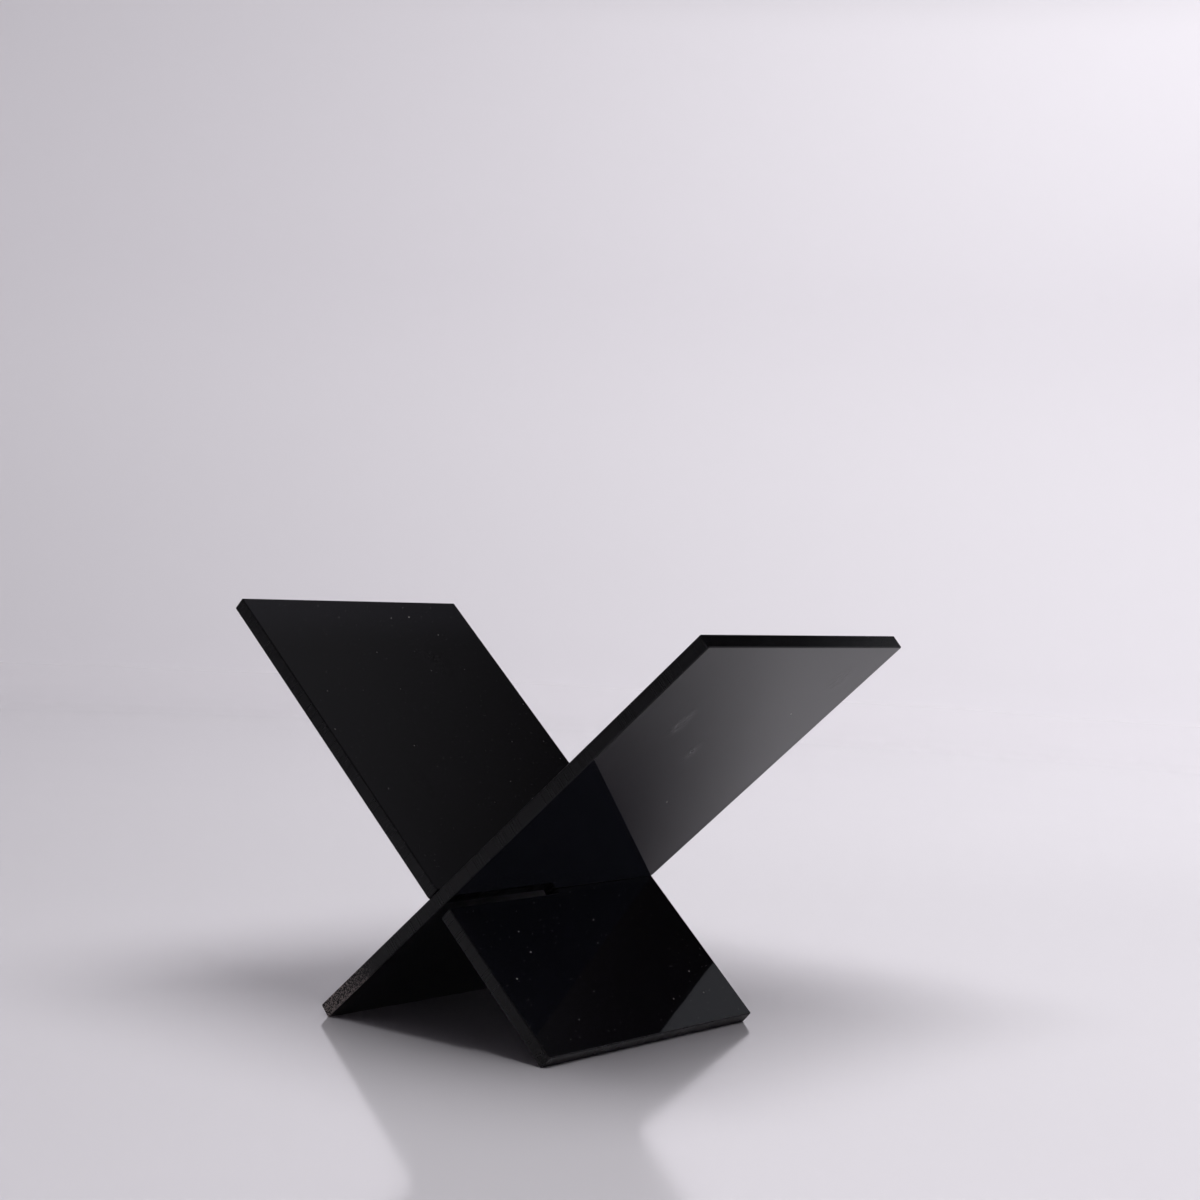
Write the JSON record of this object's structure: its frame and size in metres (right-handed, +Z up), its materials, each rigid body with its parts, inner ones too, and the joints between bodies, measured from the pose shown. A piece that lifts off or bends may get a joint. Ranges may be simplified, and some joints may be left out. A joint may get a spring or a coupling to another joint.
{
  "type": "cross bookstand",
  "caption": "Low X-shaped bookstand: flat gloss black acrylic plates cross in half-lap slots, and their upper arms cradle an open book.",
  "frame": {"origin": "on the floor, in the middle of the footprint", "axes": "+X along the cradle, towards the top of the plate that is slotted from the back; +Y along the slots, from the front edge to the back edge; +Z up"},
  "size_m": [0.203, 0.11, 0.1376],
  "materials": {
    "black_acrylic": "mirror gloss faces, satin edges with a scraped and buffed arris"
  },
  "bodies": {
    "rear_slot_plate": {"rear_slot_plate": "black_acrylic"},
    "front_slot_plate": {"front_slot_plate": "black_acrylic"}
  },
  "joints": [
    {"name": "slot_slide", "type": "slide", "parent": "rear_slot_plate", "child": "front_slot_plate", "axis": [0, 1, 0], "range_m": [0, 0.112]}
  ]
}
